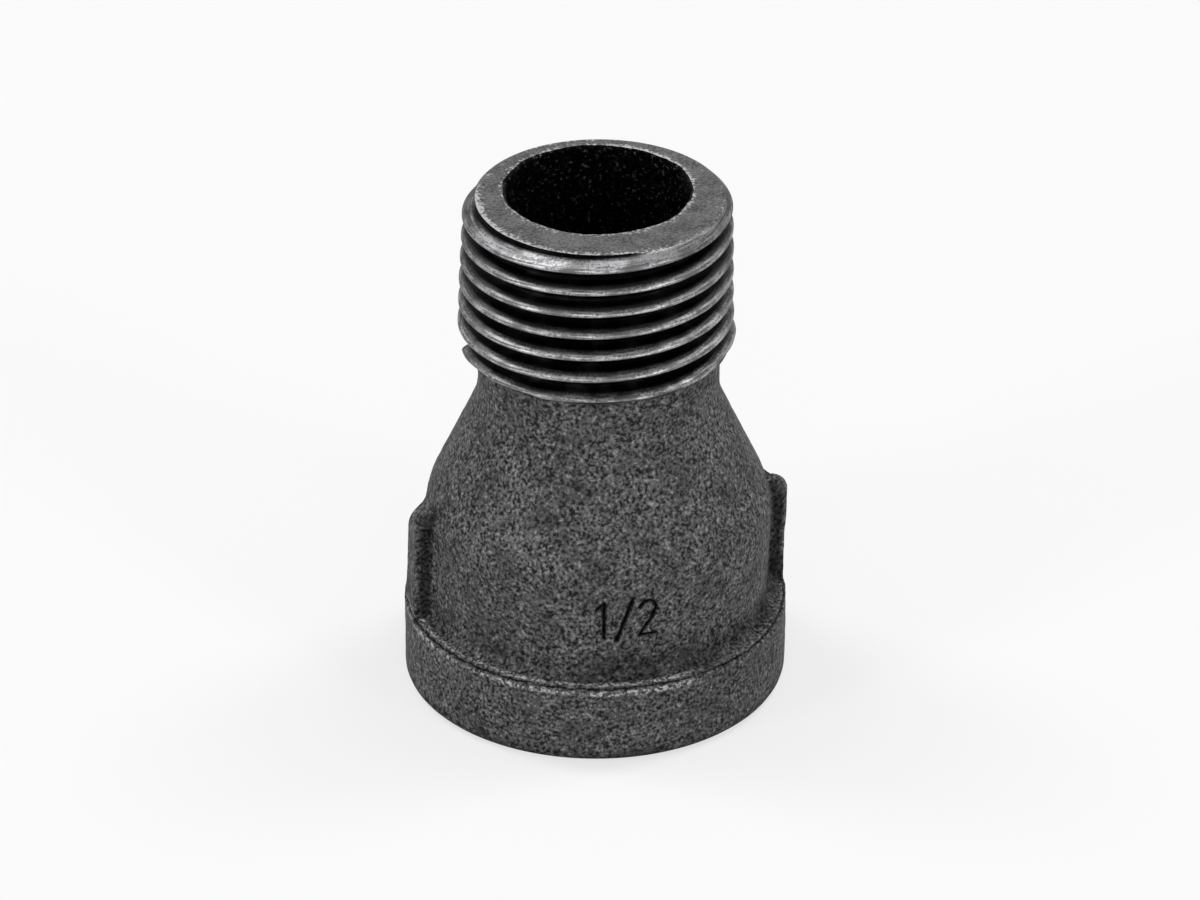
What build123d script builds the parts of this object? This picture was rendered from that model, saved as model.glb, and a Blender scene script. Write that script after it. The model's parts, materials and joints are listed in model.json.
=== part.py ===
"""Banded malleable iron extension fitting with a female and a male half-inch pipe thread.

The fitting stands on its banded female end. Z = 0 is that flat end, and +Z runs up the thread axis
to the male end. The two side ribs lie along the X axis. All lengths are in millimetres.
"""

import os
from math import atan, degrees, radians, tan

from build123d import *

# ---- Half-inch taper pipe thread ----
thread_pitch = 1.8143
thread_angle = 55.0
thread_depth = 1.162
thread_taper = 1 / 16
male_gauge_dia = 20.955
male_gauge_length = 8.2
female_minor_dia = 18.631

# ---- Heights of the casting, stacked from the female end ----
band_height = 6.7
body_height = 8.9
shoulder_height = 8.8
neck_height = 4.05
step_height = 0.4
male_length = 12.25

# ---- Widths of the casting ----
body_dia = 26.7
neck_dia = 18.5
band_step = 1.5

# ---- Side ribs ----
rib_inset = 0.15
rib_thickness = 3.6
rib_rise = 9.2
rib_corner_radius = 1.3
rib_edge_radius = 0.5

# ---- Roundings ----
foot_radius = 0.8
band_top_radius = 0.5
root_radius = 0.9
shoulder_foot_radius = 5.5
shoulder_top_radius = 5.0
step_root_radius = 0.3
step_edge_radius = 0.1

# ---- Male end ----
male_chamfer = 0.8
groove_start_drop = 1.59
groove_start_angle = 40.0
cutter_overhang = 0.6

# ---- Passage ----
female_wall_end = 14.5
female_mouth_dia = 21.6
bore_dia = 14.0
bore_shift_x = 0.26
bore_shift_y = 1.25
bore_lead = 8.5

# ---- Where the round faces' seam lies, clear of the ribs ----
seam_angle = -30.0

# ---- Worked out ----
tolerance = 1e-3
body_radius = body_dia / 2
band_radius = body_radius + band_step
rib_reach = band_radius - rib_inset
neck_radius = neck_dia / 2
shoulder_foot_z = band_height + body_height
shoulder_top_z = shoulder_foot_z + shoulder_height
neck_top_z = shoulder_top_z + neck_height
blank_foot_z = neck_top_z + step_height
overall_height = blank_foot_z + male_length
gauge_z = overall_height - male_gauge_length
crest_slope = thread_taper / 2
thread_flat = thread_pitch / 2 - thread_depth * tan(radians(thread_angle / 2))
rib_top_z = band_height + rib_rise
rib_foot_z = band_height / 2
bore_foot_z = female_wall_end + bore_lead


def crest_radius(z):
    """Radius over the male thread's crests at height z."""
    return male_gauge_dia / 2 + (gauge_z - z) * crest_slope


def is_on_rib_side(edge):
    """True for an edge in either side plane of the ribs."""
    return abs(abs(edge.center().Y) - rib_thickness / 2) < tolerance


def is_root(edge):
    """True for the edges where the ribs and the top of the band meet the round body."""
    middle = edge.center()
    on_rib = is_on_rib_side(edge) and band_height - tolerance < middle.Z < rib_top_z
    rib_meets_body = on_rib and abs(middle.X) < body_radius and edge.length > root_radius
    rib_meets_band = on_rib and abs(middle.Z - band_height) < tolerance
    if edge.geom_type != GeomType.CIRCLE:
        return rib_meets_body or rib_meets_band
    return abs(middle.Z - band_height) < tolerance and abs(edge.radius - body_radius) < tolerance


# ---- Thread groove: one tapered right-hand helix, from clear of the step to clear of the end ----
groove_foot_z = blank_foot_z - groove_start_drop
groove_length = overall_height + thread_pitch - groove_foot_z
groove_bottom = thread_flat / 2
groove_mouth = thread_pitch / 2 - thread_flat / 2

with BuildPart() as thread_groove:
    with BuildLine() as groove_path:
        Helix(
            pitch=thread_pitch,
            height=groove_length,
            radius=crest_radius(groove_foot_z),
            center=(0, 0, groove_foot_z),
            cone_angle=-degrees(atan(crest_slope)),
        )
    start_plane = Plane(
        origin=groove_path.line @ 0,
        x_dir=(1, 0, 0),
        z_dir=groove_path.line % 0,
    )
    with BuildSketch(start_plane):
        with BuildLine():
            Polyline(
                (-thread_depth, -groove_bottom),
                (0, -groove_mouth),
                (cutter_overhang, -groove_mouth),
                (cutter_overhang, groove_mouth),
                (0, groove_mouth),
                (-thread_depth, groove_bottom),
                close=True,
            )
        make_face()
    sweep(path=groove_path.line, is_frenet=True)

# ---- Rib plate: both ribs in one plate through the axis, rounded before it joins the body ----
with BuildPart() as rib_plate:
    with BuildSketch(Plane.XZ):
        with Locations((0, rib_foot_z)):
            Rectangle(2 * rib_reach, rib_top_z - rib_foot_z, align=(Align.CENTER, Align.MIN))
    extrude(amount=rib_thickness / 2, both=True)
    top_corners = rib_plate.edges().filter_by(Axis.Y).group_by(Axis.Z)[-1]
    fillet(top_corners, rib_corner_radius)
    side_edges = [
        edge
        for edge in rib_plate.edges()
        if is_on_rib_side(edge) and edge.center().Z > rib_foot_z + tolerance
    ]
    fillet(side_edges, rib_edge_radius)

# ---- The casting ----
with BuildPart() as fitting_body:
    with BuildSketch(Plane.XZ.rotated((0, 0, seam_angle))):
        with BuildLine():
            outline = FilletPolyline(
                (0, 0),
                (band_radius, 0),
                (band_radius, band_height),
                (body_radius, band_height),
                (body_radius, shoulder_foot_z),
                (neck_radius, shoulder_top_z),
                (neck_radius, neck_top_z),
                (crest_radius(blank_foot_z), blank_foot_z),
                (crest_radius(overall_height), overall_height),
                (0, overall_height),
                radius=[
                    foot_radius,
                    band_top_radius,
                    0,
                    shoulder_foot_radius,
                    shoulder_top_radius,
                    step_root_radius,
                    step_edge_radius,
                    0,
                ],
            )
            Line(outline @ 1, outline @ 0)
        make_face()
    revolve(axis=Axis.Z)
    male_rim = fitting_body.edges().filter_by(GeomType.CIRCLE).sort_by(Axis.Z)[-1]
    chamfer(male_rim, male_chamfer)
    add(rib_plate.part)
    fillet(fitting_body.edges().filter_by(is_root), root_radius)

    with BuildSketch(Plane.XY):
        Circle(female_minor_dia / 2)
    extrude(amount=female_wall_end, mode=Mode.SUBTRACT)
    with BuildSketch(Plane.XY.offset(female_wall_end)):
        Circle(female_minor_dia / 2)
    with BuildSketch(Plane.XY.offset(bore_foot_z)):
        with Locations((bore_shift_x, bore_shift_y)):
            Circle(bore_dia / 2)
    loft(mode=Mode.SUBTRACT)
    with BuildSketch(Plane.XY.offset(bore_foot_z)):
        with Locations((bore_shift_x, bore_shift_y)):
            Circle(bore_dia / 2)
    extrude(amount=overall_height - bore_foot_z, mode=Mode.SUBTRACT)
    foot_circles = fitting_body.edges().filter_by(GeomType.CIRCLE).group_by(Axis.Z)[0]
    female_rim = foot_circles.sort_by(SortBy.RADIUS)[0]
    chamfer(female_rim, (female_mouth_dia - female_minor_dia) / 2)

    add(thread_groove.part, rotation=(0, 0, groove_start_angle), mode=Mode.SUBTRACT)

os.makedirs("parts", exist_ok=True)
fitting_body.part.label = "fitting_body"
export_step(fitting_body.part, "parts/fitting_body.step")
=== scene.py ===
import json
from math import atan2, cos, degrees, exp, pi, radians, sin, sqrt, tan

import bmesh
import bpy
from mathutils import Matrix, Vector, noise


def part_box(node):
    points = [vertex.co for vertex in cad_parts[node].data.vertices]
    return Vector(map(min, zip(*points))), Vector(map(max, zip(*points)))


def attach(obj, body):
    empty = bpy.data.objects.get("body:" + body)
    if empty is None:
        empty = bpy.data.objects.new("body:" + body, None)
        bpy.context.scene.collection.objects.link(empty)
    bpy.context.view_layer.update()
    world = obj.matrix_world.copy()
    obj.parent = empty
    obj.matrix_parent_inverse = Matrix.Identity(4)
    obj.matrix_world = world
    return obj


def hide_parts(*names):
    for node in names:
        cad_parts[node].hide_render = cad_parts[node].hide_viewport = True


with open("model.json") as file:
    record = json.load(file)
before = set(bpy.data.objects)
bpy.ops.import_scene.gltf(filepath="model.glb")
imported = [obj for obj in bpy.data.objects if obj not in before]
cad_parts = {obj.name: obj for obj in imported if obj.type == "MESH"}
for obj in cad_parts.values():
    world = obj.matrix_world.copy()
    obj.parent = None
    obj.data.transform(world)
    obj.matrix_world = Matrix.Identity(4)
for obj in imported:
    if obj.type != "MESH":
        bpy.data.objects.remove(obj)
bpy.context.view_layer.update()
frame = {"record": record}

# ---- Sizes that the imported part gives, in millimetres ----
mm = 0.001
part_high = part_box("fitting_body")[1]
mounts = {mount["name"]: mount for mount in frame["record"]["mounts"]}
overall_height = part_high.z / mm
band_radius = part_high.y / mm
female_minor_radius = mounts["female_thread"]["dims"]["r_mm"]
male_gauge_radius = mounts["male_thread"]["dims"]["r_mm"]
bore_radius = mounts["flow_bore"]["dims"]["r_mm"]
bore_shift = Vector(mounts["flow_bore"]["pos_m"]).to_2d() / mm

# ---- Casting, in millimetres ----
band_step = 1.5
band_height = 6.7
body_radius = band_radius - band_step
shoulder_foot_z = 15.6
shoulder_top_z = 24.4
neck_radius = 9.25
neck_top_z = 28.45
foot_radius = 0.8
band_edge_radius = 0.5
root_radius = 0.9
shoulder_foot_radius = 5.5
shoulder_top_radius = 5.0
rib_reach = band_radius - 0.15
rib_half_thickness = 1.8
rib_foot_z = band_height + 0.05
rib_top_z = 15.9
rib_corner_radius = 1.3
rib_edge_radius = 0.5
rib_front_rise = 0.25
rib_back_drop = 1.25

# ---- Lean of the casting, in millimetres ----
# Its middle lies to the camera's right of the thread's axis, by foot_lean at the foot.
foot_lean = 0.08
lean_gains = (
    # from this height, to this height, it gains this much
    (8, 14, 0.145),
    (21, 25.5, -0.04),
    (28.9, 30.5, -0.25),
)

# ---- Half-inch taper pipe threads and the two ends, in millimetres ----
pitch = 25.4 / 14
half_angle = radians(27.5)
thread_depth = 1.162
crest_cut = pitch / (12 * tan(half_angle))
taper = 1 / 32
gauge_z = overall_height - 8.2
blank_foot_z = 28.85
crest_start_z = 40.668
last_crest = 6
face_radius = 9.454
face_shift = 0.2
face_rim = 0.22
mouth_radius = 10.8
mouth_land = 0.4
female_wall_end_z = 14.5
female_run_out = 2.5
bore_foot_z = 23.0

# ---- Where the skins are cut and joined, in millimetres ----
casting_end_z = 27.45
thread_skin_foot_z = 27.6
passage_foot_z = female_wall_end_z + 0.2

# ---- How the fitting stands to the camera, in millimetres ----
# The side that faces the camera, in degrees round from the X axis.
front_side = -102
view_turn = radians(front_side + 90)
view_elevation = radians(30.07)
view_roll = radians(0.497)
view_distance = 500
view_target = Vector((0.335, 0, 19.071))
view_lens = 194.68
camera_right = Vector((cos(view_turn), sin(view_turn), 0))

# ---- Mesh fineness ----
casting_columns = 400
casting_row = 0.4
rib_crowding = 0.15
thread_columns = 360
thread_rows = 12
female_columns = 200
female_rows = 8
bore_columns = 180
bore_row = 1.0
same_place = 1e-3
sharp_edge = radians(50)

# ---- The finishes, in the order of the material slots ----
cast, threaded, faced, inner = range(4)


# ---- Arithmetic ----


def share_of(value):
    """The value, kept between 0 and 1."""
    return min(max(value, 0), 1)


def step(edge_0, edge_1, value):
    """0 on edge_0's side, 1 on edge_1's side, and smooth between them."""
    share = share_of((value - edge_0) / (edge_1 - edge_0))
    return share * share * (3 - 2 * share)


def hump(value, middle, width):
    """1 at the middle, falling off smoothly to either side."""
    return exp(-(((value - middle) / width) ** 2))


def soft_min(a, b, softness):
    """The smaller of two values, with the corner between them rounded."""
    overlap = max(softness - abs(a - b), 0) / softness
    return min(a, b) - overlap * overlap * softness / 4


def grain(place, size, seed=0):
    """Smooth noise from -1 to 1 with features of about that size, in millimetres."""
    return noise.noise(Vector(place) / size + Vector((seed, 0, 0)))


def front_angle(place):
    """Degrees round from the camera-facing side, positive to its right, from -180 to 180."""
    angle = degrees(atan2(place.y, place.x)) - front_side
    return (angle + 180) % 360 - 180


def place_at(vert, radius, angle, z):
    """Moves a vertex to a radius, an angle and a height."""
    vert.co = (radius * cos(angle), radius * sin(angle), z)


# ---- Mesh helpers ----


def wire(bm, corners, roundings):
    """A chain of edges through (radius, z) corners in the XZ plane.

    Roundings gives a corner's radius and segments by its place in the chain.
    """
    verts = [bm.verts.new((radius, 0, z)) for radius, z in corners]
    for start, end in zip(verts, verts[1:]):
        bm.edges.new((start, end))
    places = [vert.co.copy() for vert in verts]
    for index, (radius, segments) in roundings.items():
        before = places[index - 1] - places[index]
        after = places[index + 1] - places[index]
        tangent = radius / tan(before.angle(after) / 2)
        bmesh.ops.bevel(bm, geom=[verts[index]], offset=tangent, offset_type="OFFSET",
                        segments=segments, profile=0.5, affect="VERTICES", material=-1)


def divide(bm, edges, row):
    """Cuts each edge that is longer than a row into equal rows."""
    for edge in edges:
        cuts = round(edge.calc_length() / row) - 1
        if cuts > 0:
            bmesh.ops.subdivide_edges(bm, edges=[edge], cuts=cuts)


def spin_round(bm, columns):
    """Spins a chain of edges round the thread's axis into a skin."""
    bmesh.ops.spin(bm, geom=bm.verts[:] + bm.edges[:], cent=(0, 0, 0), axis=(0, 0, 1),
                   angle=2 * pi, steps=columns, use_merge=True)


def measure_along(start, along):
    """Writes each vertex's distance along its chain, from the start vertex."""
    vert, last = start, None
    while True:
        ahead = [edge for edge in vert.link_edges if edge is not last]
        if not ahead:
            return
        last = ahead[0]
        following = last.other_vert(vert)
        following[along] = vert[along] + last.calc_length()
        vert = following


def new_skin():
    """An empty mesh with a number on each vertex for everything that the finishes read.

    along: millimetres up the casting's outline from the mouth
    speckle: how near a bright edge lies: the end face's burred edges, and the band's rough edge,
    whose pale specks are partly painted glints
    depth: how deep in a thread's groove, from 0 on the crest to 1 at the root
    bare: how far the finish is worn off a crest, plus a painted highlight that widens the male
    thread's lower crests
    shade: painted shade, how dark a hollow, a crease, a rib's wall, the foot or a sunk stroke is
    painted
    across: millimetres up or down from the nearest crest
    """
    bm = bmesh.new()
    for name in ("along", "speckle", "depth", "bare", "shade", "across"):
        bm.verts.layers.float.new(name)
    return bm


def layer(bm, name):
    """The layer of that name, for reading and writing a vertex's number."""
    return bm.verts.layers.float[name]


def give_finish(faces, finish):
    """Sets the material slot of some faces."""
    for face in faces:
        face.material_index = finish


def join(whole, skin):
    """Adds a finished skin to the whole fitting."""
    mesh = bpy.data.meshes.new("skin")
    skin.to_mesh(mesh)
    skin.free()
    whole.from_mesh(mesh)
    bpy.data.meshes.remove(mesh)


def show(name, data):
    """Adds an object to the scene, made of a mesh, a lamp or a camera."""
    thing = bpy.data.objects.new(name, data)
    bpy.context.scene.collection.objects.link(thing)
    return thing


def show_mesh(name, bm):
    """Adds an object to the scene, made of a finished skin."""
    mesh = bpy.data.meshes.new(name)
    bm.to_mesh(mesh)
    bm.free()
    return show(name, mesh)


def open_loop(bm, z):
    """The open edges at one height."""
    def is_on(edge):
        return all(abs(vert.co.z - z) < same_place for vert in edge.verts)
    return [edge for edge in bm.edges if edge.is_boundary and is_on(edge)]


def helix_strip(bm, foot_z, turns, columns, rows, crowding):
    """A screw-shaped skin of unit radius: one pitch of rows, spun round and up, and stacked.

    Crowding draws the rows together at the crests.
    """
    wire(bm, [(1, foot_z), (1, foot_z + pitch)], {})
    bmesh.ops.subdivide_edges(bm, edges=bm.edges, cuts=rows - 1)
    for vert in bm.verts:
        share = (vert.co.z - foot_z) / pitch
        vert.co.z -= pitch * crowding * sin(2 * pi * share) / (2 * pi)
    bmesh.ops.spin(bm, geom=bm.verts[:] + bm.edges[:], cent=(0, 0, 0), axis=(0, 0, 1),
                   dvec=(0, 0, pitch / columns), angle=2 * pi, steps=columns)
    one_turn = bm.verts[:] + bm.edges[:] + bm.faces[:]
    for turn in range(1, turns):
        copy = bmesh.ops.duplicate(bm, geom=one_turn)["geom"]
        risen = [item for item in copy if isinstance(item, bmesh.types.BMVert)]
        bmesh.ops.translate(bm, vec=(0, 0, pitch * turn), verts=risen)
    bmesh.ops.remove_doubles(bm, verts=bm.verts, dist=same_place)


def cut_level(bm, z, clear_above=False, clear_below=False):
    """Cuts a skin at a height and removes what lies above or below it."""
    bmesh.ops.bisect_plane(bm, geom=bm.verts[:] + bm.edges[:] + bm.faces[:], dist=1e-4,
                           plane_co=(0, 0, z), plane_no=(0, 0, 1), clear_outer=clear_above,
                           clear_inner=clear_below)


# ---- The casting: foot, band, body, ribs, shoulder and neck ----


def rib_outline(distance):
    """(x, z) on the rib's outer edge, at a distance up from the band's rounded edge."""
    start = Vector((band_radius, band_height - band_edge_radius))
    lead = Vector((rib_reach, rib_foot_z)) - start
    if distance < lead.length:
        return start + lead * (distance / lead.length)
    distance -= lead.length
    flat = rib_top_z - rib_corner_radius - rib_foot_z
    if distance < flat:
        return rib_reach, rib_foot_z + distance
    turn = min((distance - flat) / rib_corner_radius, pi / 2)
    beyond = distance - flat - turn * rib_corner_radius
    x = rib_reach - rib_corner_radius * (1 - cos(turn)) - beyond
    return x, rib_top_z - rib_corner_radius * (1 - sin(turn))


def rib_share(across):
    """1 on the rib, 0 on the body, with a rounded edge and a rounded root between them."""
    rise = rib_reach - body_radius
    edge = across - (rib_half_thickness - rib_edge_radius)
    root = rib_half_thickness + root_radius - across
    if edge <= 0:
        return 1
    if root <= 0:
        return 0
    if across < rib_half_thickness:
        return (rise - rib_edge_radius + sqrt(rib_edge_radius**2 - edge * edge)) / rise
    return (root_radius - sqrt(max(root_radius**2 - root * root, 0))) / rise


def lean(z):
    """How far the casting's middle lies to the camera's right at a height."""
    return sum((gain * step(low, high, z) for low, high, gain in lean_gains), foot_lean)


def raise_ribs(bm, along, rib_start, rib_end):
    """Draws the columns on the X axis out from the body to the outline of the ribs."""
    shade = layer(bm, "shade")
    for vert in bm.verts:
        distance = vert[along] - rib_start
        if not 0 < distance < rib_end - rib_start:
            continue
        angle = atan2(vert.co.y, vert.co.x)
        is_clear_of_ribs = abs(sin(angle)) > 0.25
        if is_clear_of_ribs:
            continue
        x, z = rib_outline(distance)
        share = rib_share(abs(x * tan(angle)))
        to_back = step(-1.2, 0.6, vert.co.y)
        z += (rib_front_rise * (1 - to_back) - rib_back_drop * to_back) * step(11, 14.6, z)
        radius = vert.co.to_2d().length
        out = radius + (x / abs(cos(angle)) - radius) * share
        place_at(vert, out, angle, vert.co.z + (z - vert.co.z) * share)
        # Painted shade on the ribs' side walls, down to the corner where they meet the body.
        vert[shade] = 0.75 * step(0.02, 0.2, share) * (1 - step(0.6, 0.95, share))


def build_casting():
    """The outside of the casting from its mouth, round the foot and up to the neck."""
    bm = new_skin()
    along, speckle, shade = (layer(bm, name) for name in ("along", "speckle", "shade"))
    corners = [
        (mouth_radius + mouth_land, 0),
        (band_radius, 0),
        (band_radius, band_height),
        (body_radius, band_height),
        (body_radius, shoulder_foot_z),
        (neck_radius, shoulder_top_z),
        (neck_radius, casting_end_z),
    ]
    roundings = {1: (foot_radius, 5), 2: (band_edge_radius, 9), 3: (root_radius, 6),
                 4: (shoulder_foot_radius, 8), 5: (shoulder_top_radius, 8)}
    wire(bm, corners, roundings)
    divide(bm, bm.edges[:], casting_row)
    ends = [vert for vert in bm.verts if len(vert.link_edges) == 1]
    measure_along(min(ends, key=lambda vert: vert.co.z), along)
    rib_start = max(vert[along] for vert in bm.verts if abs(vert.co.x - band_radius) < same_place)
    rib_end = max(vert[along] for vert in bm.verts if vert.co.z < rib_top_z + 0.1)
    spin_round(bm, casting_columns)
    for vert in bm.verts:
        angle = atan2(vert.co.y, vert.co.x)
        crowding = rib_crowding * (1 - step(17, 25, vert.co.z))
        place_at(vert, vert.co.to_2d().length, angle - crowding * sin(2 * angle), vert.co.z)
    raise_ribs(bm, along, rib_start, rib_end)
    bm.normal_update()
    edge_middle = rib_start + band_edge_radius * pi / 4
    for vert in bm.verts:
        roughen_casting(vert, vert[along] - edge_middle, speckle, shade)
    give_finish(bm.faces, cast)
    return bm


def roughen_casting(vert, from_edge, speckle, shade):
    """Moves a vertex off the true form: uneven skin, a rough band edge and a lean of the body.

    From_edge is how far up the outline it lies from the middle of the band's rounded edge.
    """
    place = vert.co.copy()
    around = front_angle(place)
    outward = vert.normal if vert.normal.to_2d().dot(place.to_2d()) > 0 else -vert.normal
    off_rib = 1 - rib_share(abs(place.y)) * step(0.2, 0.6, abs(from_edge))

    uneven = 0.035 * grain(place, 3.2) + 0.03 * grain(place, 1.3, 5) + 0.03 * grain(place, 0.6, 9)
    uneven *= step(0.15, 1.2, place.z)

    lumpy = share_of(0.8 + 0.8 * grain(place, 2.2, 19)) * (1 - 0.75 * step(22, 40, around))
    ridge = hump(abs(from_edge), 0.42, 0.21) * off_rib * lumpy
    ridge_height = 0.02 + 0.13 * grain(place, 0.36, 13) + 0.05 * grain(place, 0.9, 17)

    # A thin crack dented along the band's edge, also painted dark as painted shade in the crease.
    crack_middle = 0.16 * grain(place, 0.8, 21) + 0.08 * grain(place, 0.35, 23)
    crack_depth = 0.16
    crack = hump(from_edge, crack_middle, 0.08) * off_rib

    vert.co += outward * (uneven + ridge * ridge_height - crack_depth * crack)
    vert.co += camera_right * lean(place.z) * step(0, 1, place.z)

    # Painted shade in the rounded root between the band and the body, patchy, and stronger from
    # the front round to the camera's right.
    root = step(0.35, 0.9, from_edge) * (1 - step(1.2, 3.6, from_edge))
    root *= share_of(0.5 + 0.8 * grain(place, 2.4, 29) + 0.4 * step(-15, 25, around))
    # Painted shade along the foot, darker towards the bottom, where the fitting meets the floor.
    foot = 1 - step(0.1, 1.5, place.z)
    vert[shade] = max(vert[shade], crack, 0.6 * root, 0.55 * foot)
    # The ridge also places the band edge's pale specks, which are partly painted glints, fewer to
    # the camera's right.
    vert[speckle] = ridge


# ---- The male thread ----


def crest_radius(z):
    """Radius over the crests of the male thread."""
    return male_gauge_radius + (gauge_z - z) * taper


def flank_depth(gap):
    """Depth below the crest, at a share of the pitch away from it."""
    depth = gap * pitch / tan(half_angle) - crest_cut
    return soft_min(-soft_min(-depth, 0, 0.2), thread_depth, 0.3)


def thread_turn(place):
    """Turns down the thread from its first crest: a whole number on a crest, a half in a root."""
    around = front_angle(place) + front_side
    return (crest_start_z - place.z) / pitch + around / 360


def torn(place, turn):
    """How much of the last crest is broken away, in millimetres."""
    if round(turn) != last_crest:
        return 0
    around = front_angle(place)
    on_crest = 1 - step(0.1, 0.5, abs(turn - last_crest))
    in_sight = 1 - step(110, 150, abs(around))
    nibbled = 0.12 + 0.34 * max(grain(place, 0.7, 31), 0) + 0.26 * grain(place, 0.35, 37)
    broken_off = step(-80, -86, around) * (0.75 + 0.5 * grain(place, 0.5, 41))
    return on_crest * in_sight * max(nibbled + broken_off, 0)


def thread_cut(place):
    """Depth of the thread below its crests. The first groove closes to the camera's right."""
    turn = thread_turn(place)
    cut = flank_depth(abs(turn - round(turn)))
    return cut * (1 - step(5, 45, front_angle(place))) if turn < 0 else cut


def face_edge_radius(around):
    """Radius of the off-centre end face at an angle round from the front."""
    return face_radius + face_shift * sin(radians(around))


def male_radius(place):
    """Radius of the threaded end, from the neck to the chamfered end face."""
    turn = thread_turn(place)
    around = front_angle(place)
    on_crest = 1 - step(0, 0.15, abs(turn - round(turn)))
    nick = 0.05 * max(grain(place, 0.5, 51) - 0.25, 0) + 0.02 * grain(place, 0.25, 53)
    battered = step(30, 55, around) * (1 - step(100, 130, around)) * step(0.8, -0.2, turn)
    nick += 0.28 * battered * max(grain(place, 0.7, 55) - 0.1, 0)
    radius = crest_radius(place.z) - thread_cut(place) - nick * on_crest - torn(place, turn)
    chamfer = face_edge_radius(around) + overall_height - place.z
    radius = soft_min(radius, chamfer, 0.06)
    blank = neck_radius + 1.5 * step(neck_top_z - 0.1, blank_foot_z + 0.1, place.z)
    return max(min(radius, blank), neck_radius + 0.02 * grain(place, 0.8, 57))


def build_male_thread():
    """The cut thread on its cast blank, from the neck to the end face."""
    bm = new_skin()
    depth, bare, across = (layer(bm, name) for name in ("depth", "bare", "across"))
    foot_z = crest_start_z - 9 * pitch
    helix_strip(bm, foot_z, 10, thread_columns, thread_rows, 0.5)
    cut_level(bm, thread_skin_foot_z, clear_below=True)
    cut_level(bm, overall_height, clear_above=True)
    for z in (neck_top_z, blank_foot_z, overall_height - 0.8):
        cut_level(bm, z)
    for vert in bm.verts:
        place = vert.co.copy()
        around = front_angle(place)
        place_at(vert, male_radius(place), atan2(place.y, place.x), place.z)
        vert.co += camera_right * lean(place.z) * (1 - step(34, 38, place.z))

        turn = thread_turn(place)
        gap = turn - round(turn)
        vert[across] = gap * pitch
        is_above_first_crest = turn < 0
        sunk = share_of((thread_cut(place) + torn(place, turn)) / thread_depth)
        in_front = 1 - step(70, 110, abs(around))
        vert[depth] = max(sunk - 0.5, 0) * 2 * in_front if is_above_first_crest else sunk

        # On the male thread's lower crests the bright band is widened as a painted highlight;
        # elsewhere it is the crest's real wear.
        wear_and_highlight_width = 0.12 if gap > 0 else 0.17 + 0.08 * step(2.3, 3.5, turn)
        worn = 1 - step(0.02, wear_and_highlight_width, abs(gap))
        worn *= 1 - 0.3 * step(last_crest - 0.5, last_crest, turn)
        chamfered = 1 - step(0, 0.3, vert[depth]) if place.z > overall_height - 1 else 0
        darker = 1 - 0.65 * step(12, 40, around) if turn < 0.5 else 1
        vert[bare] = max(worn, 0.55 * chamfered) * darker
    for face in bm.faces:
        middle = face.calc_center_median()
        is_neck = middle.z < neck_top_z or thread_turn(middle) > last_crest + 0.3
        face.material_index = cast if is_neck else threaded
    return bm


# ---- The passage and the female thread ----


def build_passage():
    """The cast passage: a lead from the female wall to the off-centre bore, and its rim."""
    bm = new_skin()
    corners = [
        (female_minor_radius, passage_foot_z),
        (bore_radius, bore_foot_z),
        (bore_radius, overall_height - 0.5),
        (bore_radius, overall_height - face_rim),
        (bore_radius + 0.06, overall_height - 0.08),
        (bore_radius + face_rim, overall_height),
    ]
    lead_radius, lead_segments = 3.0, 4
    wire(bm, corners, {1: (lead_radius, lead_segments)})
    divide(bm, bm.edges[:], bore_row)
    spin_round(bm, bore_columns)
    for vert in bm.verts:
        place = vert.co.copy()
        rough = 0.12 * grain(place, 2.5, 61) + 0.05 * grain(place, 0.8, 63)
        near_rim = step(overall_height - 1, overall_height - 0.3, place.z)
        rough += 0.07 * grain(place, 0.5, 67) * near_rim
        place_at(vert, place.to_2d().length + rough, atan2(place.y, place.x), place.z)
        risen = min((place.z - female_wall_end_z) / (bore_foot_z - female_wall_end_z), 1)
        vert.co += bore_shift.to_3d() * risen
    give_finish(bm.faces, inner)
    return bm


def female_radius(place):
    """Radius of the female end: the thread, its run-out and the chamfer at the mouth."""
    turn = place.z / pitch - atan2(place.y, place.x) / (2 * pi)
    gap = 0.5 - abs(turn - round(turn))
    cut = thread_depth - flank_depth(gap)
    full = 1 - step(female_wall_end_z - female_run_out, female_wall_end_z - 0.5, place.z)
    radius = female_minor_radius + cut * full * (1 - place.z * taper / 1.5)
    return max(radius, mouth_radius - place.z)


def build_female_thread():
    """The thread inside the banded end, from its mouth to where the tool ran out."""
    bm = new_skin()
    depth, bare = layer(bm, "depth"), layer(bm, "bare")
    chamfer_top_z = mouth_radius - female_minor_radius
    helix_strip(bm, -2 * pitch, 10, female_columns, female_rows, 0)
    cut_level(bm, 0, clear_below=True)
    cut_level(bm, female_wall_end_z, clear_above=True)
    cut_level(bm, chamfer_top_z)
    for vert in bm.verts:
        radius = female_radius(vert.co)
        place_at(vert, radius, atan2(vert.co.y, vert.co.x), vert.co.z)
        deepest = 0.2 if vert.co.z < chamfer_top_z else 1
        vert[depth] = min(share_of((radius - female_minor_radius) / thread_depth), deepest)
        vert[bare] = 1 - step(0, 0.1, vert[depth])
    give_finish(bm.faces, threaded)
    return bm


def close_gap(bm, heights, finish):
    """Joins the two open loops that lie at one height or at two."""
    edges = [edge for z in heights for edge in open_loop(bm, z)]
    give_finish(bmesh.ops.bridge_loops(bm, edges=edges)["faces"], finish)


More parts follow.
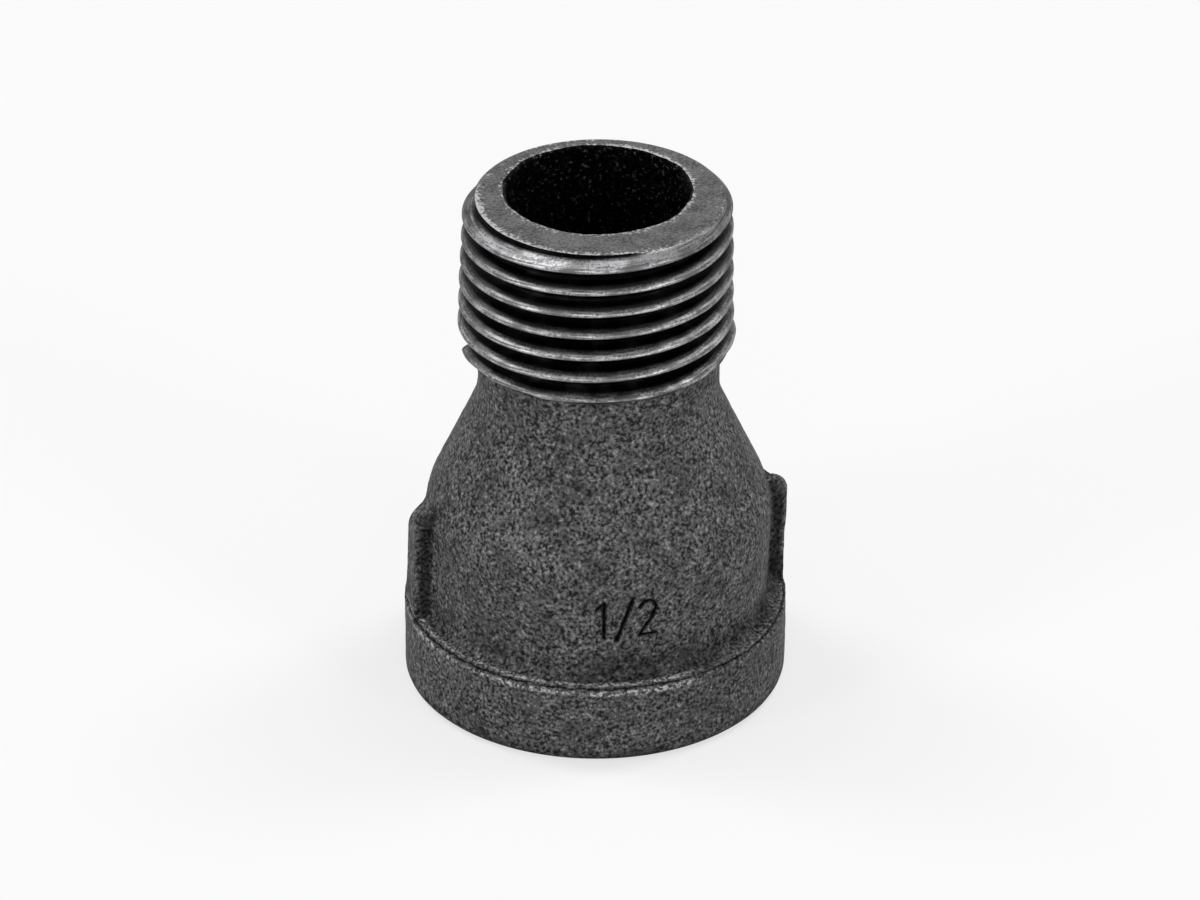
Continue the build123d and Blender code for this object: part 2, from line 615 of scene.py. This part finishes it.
def mark_rims(bm):
    """Adds rings of vertices over the end face and marks those near its two burred edges."""
    speckle = layer(bm, "speckle")
    outer_width, inner_width = 0.9, 0.6

    def is_on_end(face):
        return face.material_index == faced
    crossing = [edge for edge in bm.edges if all(is_on_end(face) for face in edge.link_faces)]
    bmesh.ops.subdivide_edges(bm, edges=crossing, cuts=3)
    for vert in {vert for face in bm.faces if is_on_end(face) for vert in face.verts}:
        around = front_angle(vert.co)
        from_outer = face_edge_radius(around) - vert.co.to_2d().length
        from_inner = (vert.co.to_2d() - bore_shift).length - bore_radius - face_rim
        outer_burr = (1 - 0.6 * step(5, 40, around)) * (1 - 0.6 * step(80, 120, abs(around)))
        inner_burr = 0.6 + 0.4 * step(95, 125, around) * (1 - step(165, 180, around))
        outer_mark = outer_burr * (1 - from_outer / outer_width)
        inner_mark = inner_burr * (1 - from_inner / inner_width)
        vert[speckle] = max(outer_mark, inner_mark, 0)


# ---- The size figure, sunk in the body ----

figure_angle = radians(-91)
figure_z = 11.75
figure_half_width = 3.0
figure_half_height = 2.3
figure_line = 0.15
figure_depth = 0.24


def from_line(point, start, end):
    """Distance of a point from a straight stroke."""
    line = end - start
    share = share_of((point - start).dot(line) / line.length_squared)
    return (point - start - line * share).length


def from_figure(point):
    """Distance of a point from the nearest stroke of the figure 1/2."""
    strokes = [
        (Vector((-2.35, 0.95)), Vector((-1.8, 1.5))),
        (Vector((-1.8, 1.5)), Vector((-1.8, -1.5))),
        (Vector((-0.85, -1.8)), Vector((0.45, 1.8))),
        (Vector((2.13, 0.34)), Vector((1.0, -1.5))),
        (Vector((1.0, -1.5)), Vector((2.3, -1.5))),
    ]
    bowl = Vector((1.62, 0.86))
    bowl_radius = 0.64
    away = point - bowl
    on_bowl = away.y > 0 or away.x > 0.2
    nearest = min(from_line(point, start, end) for start, end in strokes)
    return min(nearest, abs(away.length - bowl_radius)) if on_bowl else nearest


def on_figure(place):
    """A place on the body in the figure's own coordinates, across and up."""
    angle = (atan2(place.y, place.x) - figure_angle + pi) % (2 * pi) - pi
    return Vector((angle * body_radius, place.z - figure_z))


def is_by_figure(place):
    """True on the outside of the body, in the figure's own patch."""
    spot = on_figure(place)
    is_outside = place.to_2d().length > body_radius - 1
    return is_outside and abs(spot.x) < figure_half_width and abs(spot.y) < figure_half_height


def sink_figure(bm):
    """Cuts the plain size figure into the front of the body."""
    shade = layer(bm, "shade")
    near = [edge for edge in bm.edges if is_by_figure((edge.verts[0].co + edge.verts[1].co) / 2)]
    bmesh.ops.subdivide_edges(bm, edges=near, cuts=3, use_grid_fill=True)
    for vert in bm.verts:
        if not is_by_figure(vert.co):
            continue
        distance = from_figure(on_figure(vert.co)) + 0.05 * grain(vert.co, 0.6, 71)
        sunk = 1 - step(figure_line * 0.35, figure_line * 1.75, distance)
        inward = Vector((-vert.co.x, -vert.co.y, 0)).normalized()
        vert.co += inward * figure_depth * sunk
        # Painted shade in the sunk strokes of the figure.
        vert[shade] = max(vert[shade], sunk)


def build_fitting():
    """The whole fitting as one closed skin."""
    bm = new_skin()
    for build in (build_casting, build_male_thread, build_passage, build_female_thread):
        join(bm, build())
    close_gap(bm, [casting_end_z, thread_skin_foot_z], cast)
    close_gap(bm, [female_wall_end_z, passage_foot_z], inner)
    close_gap(bm, [0], cast)
    close_gap(bm, [overall_height], faced)
    mark_rims(bm)
    sink_figure(bm)
    bmesh.ops.recalc_face_normals(bm, faces=bm.faces)
    for face in bm.faces:
        face.smooth = True
    for edge in bm.edges:
        edge.smooth = len(edge.link_faces) == 2 and edge.calc_face_angle() < sharp_edge
    bmesh.ops.scale(bm, vec=(mm, mm, mm), verts=bm.verts)
    return show_mesh("cast_fitting", bm)


# ---- Materials ----


class Value:
    """A socket of a material, with arithmetic that adds Math nodes."""

    def __init__(self, finish, socket):
        self.finish = finish
        self.socket = socket

    def math(self, operation, *inputs, clamp=False):
        """The result of a new Math node."""
        settings = {"operation": operation, "use_clamp": clamp}
        return self.finish.add("ShaderNodeMath", settings, dict(enumerate(inputs)))

    def __add__(self, other):
        return self.math("ADD", self, other)

    def __sub__(self, other):
        return self.math("SUBTRACT", self, other)

    def __mul__(self, other):
        return self.math("MULTIPLY", self, other)

    def __rsub__(self, other):
        return self.math("SUBTRACT", other, self)

    __radd__ = __add__
    __rmul__ = __mul__

    def clamped(self):
        """The value, kept between 0 and 1."""
        return self.math("ADD", self, 0, clamp=True)

    def between(self, low, high):
        """0 at low, 1 at high, smooth between them."""
        settings = {"interpolation_type": "SMOOTHSTEP"}
        inputs = {"Value": self, "From Min": low, "From Max": high, "To Min": 0, "To Max": 1}
        return self.finish.add("ShaderNodeMapRange", settings, inputs)


class Nodes:
    """A node tree, with one method that adds any node."""

    def __init__(self, tree):
        self.nodes = tree.nodes
        self.links = tree.links

    def add(self, kind, settings=None, inputs=None, output=0):
        """Adds a node with its settings, then its inputs, and returns one of its outputs."""
        node = self.nodes.new(kind)
        for name, setting in (settings or {}).items():
            setattr(node, name, setting)
        for name, value in (inputs or {}).items():
            self.feed(node.inputs[name], value)
        return Value(self, node.outputs[output])

    def feed(self, socket, value):
        """Links a value to an input, or sets the input to a plain number or colour."""
        if isinstance(value, Value):
            self.links.new(value.socket, socket)
        else:
            socket.default_value = value

    def blend(self, share, first, second):
        """A colour between two colours."""
        share_socket, first_socket, second_socket, color_output = 0, 6, 7, 2
        inputs = {share_socket: share, first_socket: first, second_socket: second}
        return self.add("ShaderNodeMix", {"data_type": "RGBA"}, inputs, output=color_output)

    def seen_as_background(self):
        """1 for rays from the camera, off a glossy surface or through glass, 0 for soft light."""
        camera, glossy, through = (
            self.add("ShaderNodeLightPath", output=f"Is {kind} Ray")
            for kind in ("Camera", "Glossy", "Transmission")
        )
        return (camera + glossy + through).clamped()


class Finish(Nodes):
    """A material, with the textures and the sockets that the finishes share."""

    def __init__(self, name):
        self.material = bpy.data.materials.new(name)
        self.material.use_nodes = True
        super().__init__(self.material.node_tree)
        self.shader = self.nodes["Principled BSDF"]
        self.place = self.add("ShaderNodeTexCoord", output="Object")

    def attribute(self, name):
        """The number that the mesh's layer of that name holds."""
        return self.add("ShaderNodeAttribute", {"attribute_name": name}, output="Fac")

    def noise(self, size, detail=2.0, roughness=0.5):
        """Noise with features of about that size in millimetres."""
        inputs = {"Vector": self.place, "Scale": 1 / (size * mm), "Detail": detail,
                  "Roughness": roughness}
        return self.add("ShaderNodeTexNoise", inputs=inputs)

    def tool_lines(self, spacing, length):
        """Fine lines that run along the thread, as its die leaves them, in millimetres."""
        lines_across = self.attribute("across") * (1 / spacing)
        apart = self.add("ShaderNodeCombineXYZ", inputs={"Z": lines_across})
        run = 1 / (length * mm)
        settings = {"operation": "MULTIPLY_ADD"}
        inputs = {0: self.place, 1: (run, run, 0), 2: apart}
        drawn_out = self.add("ShaderNodeVectorMath", settings, inputs)
        inputs = {"Vector": drawn_out, "Scale": 1, "Detail": 2.0}
        return self.add("ShaderNodeTexNoise", inputs=inputs)

    def bump(self, height, distance):
        """Small relief: a height from 0 to 1 over a distance in millimetres."""
        inputs = {"Height": height, "Distance": distance * mm, "Strength": 1.0}
        self.feed(self.shader.inputs["Normal"], self.add("ShaderNodeBump", inputs=inputs))

    def surface(self, color, roughness, metallic):
        """The colour, the roughness and how metallic it is."""
        self.feed(self.shader.inputs["Base Color"], color)
        self.feed(self.shader.inputs["Roughness"], roughness)
        self.feed(self.shader.inputs["Metallic"], metallic)

    def gleam(self, level, tint):
        """How strongly the surface mirrors, and in what colour at a slant."""
        self.feed(self.shader.inputs["Specular IOR Level"], level)
        self.feed(self.shader.inputs["Specular Tint"], tint)


def grey(level):
    """A grey with a trace of blue."""
    return (level, level, level * 1.02, 1)


def cast_skin():
    """Sand-cast iron with a dark finish: a fine pebbled grain, pale specks that are partly
    painted glints, and painted shade from the shade layer.
    """
    skin = Finish("cast_skin")
    fine = skin.noise(0.26, roughness=0.6)
    coarse = skin.noise(0.55)
    cloudy = skin.noise(3.0)
    shade = skin.attribute("shade")
    contrast = 1.9 + cloudy.between(0.35, 0.62) * 1.8
    pebbles = (fine - 0.5) * contrast + (coarse - 0.5) * 1.0 + (cloudy - 0.5) * 0.5
    color = skin.blend((pebbles + 0.41).clamped(), grey(0.003), grey(0.158))
    # Pale specks on the band's rough edge and, rarely, all over: partly painted glints.
    specks = skin.noise(0.27, roughness=0.6).between(0.48, 0.57)
    edge_specks_and_glints = (specks * skin.attribute("speckle").between(0.15, 0.6)).clamped()
    color = skin.blend(edge_specks_and_glints, color, grey(0.38))
    rare_specks_and_glints = (fine.between(0.6, 0.68) * coarse.between(0.45, 0.6) * 0.55).clamped()
    color = skin.blend(rare_specks_and_glints, color, grey(0.35))
    # Painted shade: nearly black where the shade layer is set, and more metallic there, so that
    # its reflection darkens too.
    color = skin.blend(shade, color, grey(0.003))
    skin.surface(color, 0.64, (shade * 0.5 + 0.5).clamped())
    skin.gleam(0.5, grey(0.5))
    skin.bump(fine * 0.8 + coarse * 0.5, 0.17)
    return skin.material


def cut_thread():
    """Die-cut thread: black with oil and painted shade in the roots, worn bright along the
    crests, with a painted highlight on the male thread's lower crests.
    """
    metal = Finish("cut_thread")
    fine = metal.noise(0.2, detail=3.0, roughness=0.7)
    patchy = metal.noise(1.6)
    lines = metal.tool_lines(0.09, 2.5)
    bare = metal.attribute("bare")
    # The roots are dark from oil and from painted shade, and the metallic finish keeps their
    # reflection dark as well.
    above_oil_and_shade = 1 - metal.attribute("depth").between(-0.05, 0.62)
    clean = (above_oil_and_shade + (patchy - 0.5) * 0.35).clamped()
    marked = fine.between(0.1, 0.6) * (0.6 + lines.between(0.35, 0.65) * 0.6)
    color = metal.blend((clean * marked).clamped(), grey(0.0004), grey(0.13))
    # Bright where a crest is worn bare, and on the male thread's lower crests as a painted
    # highlight.
    color = metal.blend(bare * 0.6, color, grey(0.17))
    scratched = (fine * 0.5 + lines * 0.5).between(0.42, 0.56)
    flecks = (bare * scratched * patchy.between(0.3, 0.6)).clamped()
    color = metal.blend(flecks, color, grey(0.5))
    metal.surface(color, 0.34, 0.7)
    metal.gleam(0.25, grey(0.3))
    metal.bump(fine * 0.5 + lines * 0.7, 0.03)
    return metal.material


def end_face():
    """Sawn and faced iron: mid grey, with fine marks."""
    metal = Finish("end_face")
    fine = metal.noise(0.22, detail=3.0, roughness=0.7)
    patchy = metal.noise(1.8)
    tone = fine.between(0.4, 0.6) * 0.65 + patchy.between(0.36, 0.64) * 0.35
    color = metal.blend(tone, grey(0.015), grey(0.13))
    grit = metal.noise(0.28, roughness=0.6)
    burr = (metal.attribute("speckle") * 2.6 + (grit - 0.5) * 6 - 1.2).clamped()
    color = metal.blend(burr, color, grey(0.42))
    metal.surface(color, 0.45, 0.6)
    metal.bump(fine, 0.04)
    return metal.material


def passage_painted_shade():
    """The cast wall inside, in painted shade: nearly black, with a few pale grains."""
    skin = Finish("passage_painted_shade")
    fine = skin.noise(0.3, detail=3.0, roughness=0.65)
    # Painted shade: the wall is painted far darker than the same cast skin outside and fully
    # metallic, so its reflection stays dark too; the pale grains are the wall's own.
    color = skin.blend(fine.between(0.35, 0.65), grey(0.0004), grey(0.004))
    color = skin.blend(fine.between(0.58, 0.7), color, grey(0.09))
    skin.surface(color, 0.7, 1.0)
    skin.bump(fine, 0.08)
    return skin.material


# ---- The studio, in metres ----

floor_half_width = 3.0
soft_light = 0.38
lamp_aim = Vector((0, 0, 0.02))
softboxes = (
    # name; place to the camera's right, away from it and up; width and height; watts
    ("left_softbox", (-0.4, 0.2, 0.8), (0.2, 0.5), 2.9),
    ("right_softbox", (0.35, 0.2, 0.8), (0.2, 0.5), 2.9),
    ("front_left_softbox", (-0.65, -0.47, 0.32), (0.2, 0.4), 1.9),
    ("front_right_softbox", (0.6, -0.55, 0.32), (0.2, 0.4), 1.7),
    ("front_softbox", (0, -0.9, 0.3), (0.6, 0.3), 1.5),
)
to_view = Matrix.Rotation(view_turn, 4, "Z")


def pale_surface(name, color, shown_color, glow):
    """A plain pale finish that lights the fitting by one colour and shows as a whiter one."""
    finish = Finish(name)
    seen = finish.seen_as_background()
    finish.surface(finish.blend(seen, grey(color), grey(shown_color)), 1.0, 0.0)
    finish.gleam(0.0, grey(1.0))
    shown_glow = finish.blend(seen, (0, 0, 0, 1), (glow, glow, glow, 1))
    finish.feed(finish.shader.inputs["Emission Color"], shown_glow)
    finish.feed(finish.shader.inputs["Emission Strength"], 1.0)
    return finish.material


def build_floor():
    """The pale floor that the fitting stands on."""
    bm = bmesh.new()
    bmesh.ops.create_grid(bm, x_segments=1, y_segments=1, size=floor_half_width)
    floor = show_mesh("floor", bm)
    floor.data.materials.append(pale_surface("pale_floor", 0.75, 0.26, 0.655))


def build_world():
    """White all round: bright to look at, softer as light."""
    world = bpy.data.worlds.new("studio")
    bpy.context.scene.world = world
    world.use_nodes = True
    studio = Nodes(world.node_tree)
    background = studio.nodes["Background"]
    background.inputs["Color"].default_value = (1, 1, 1, 1)
    strength = studio.seen_as_background() * (1 - soft_light) + soft_light
    studio.feed(background.inputs["Strength"], strength)


def add_softbox(name, place, size, power):
    """An area lamp that faces the fitting."""
    light = bpy.data.lights.new(name, "AREA")
    light.shape = "RECTANGLE"
    light.size, light.size_y = size
    light.energy = power
    lamp = show(name, light)
    lamp.location = to_view @ Vector(place)
    lamp.rotation_euler = (lamp_aim - lamp.location).to_track_quat("-Z", "Y").to_euler()


def build_camera():
    """The camera, turned, raised and rolled about the point that it looks at."""
    camera = bpy.data.cameras.new("camera")
    camera.lens = view_lens
    camera.sensor_width = 36
    camera.clip_start = 0.01
    viewer = show("camera", camera)
    back = Vector((0, -cos(view_elevation), sin(view_elevation))) * view_distance
    tilt = Matrix.Rotation(pi / 2 - view_elevation, 4, "X")
    roll = Matrix.Rotation(view_roll, 4, "Z")
    viewer.matrix_world = to_view @ Matrix.Translation((view_target + back) * mm) @ tilt @ roll
    bpy.context.scene.camera = viewer


fitting = build_fitting()
for build_finish in (cast_skin, cut_thread, end_face, passage_painted_shade):
    fitting.data.materials.append(build_finish())
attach(fitting, "root")
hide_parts("fitting_body")

build_floor()
build_world()
for softbox in softboxes:
    add_softbox(*softbox)
build_camera()
bpy.context.scene.view_settings.view_transform = "Standard"
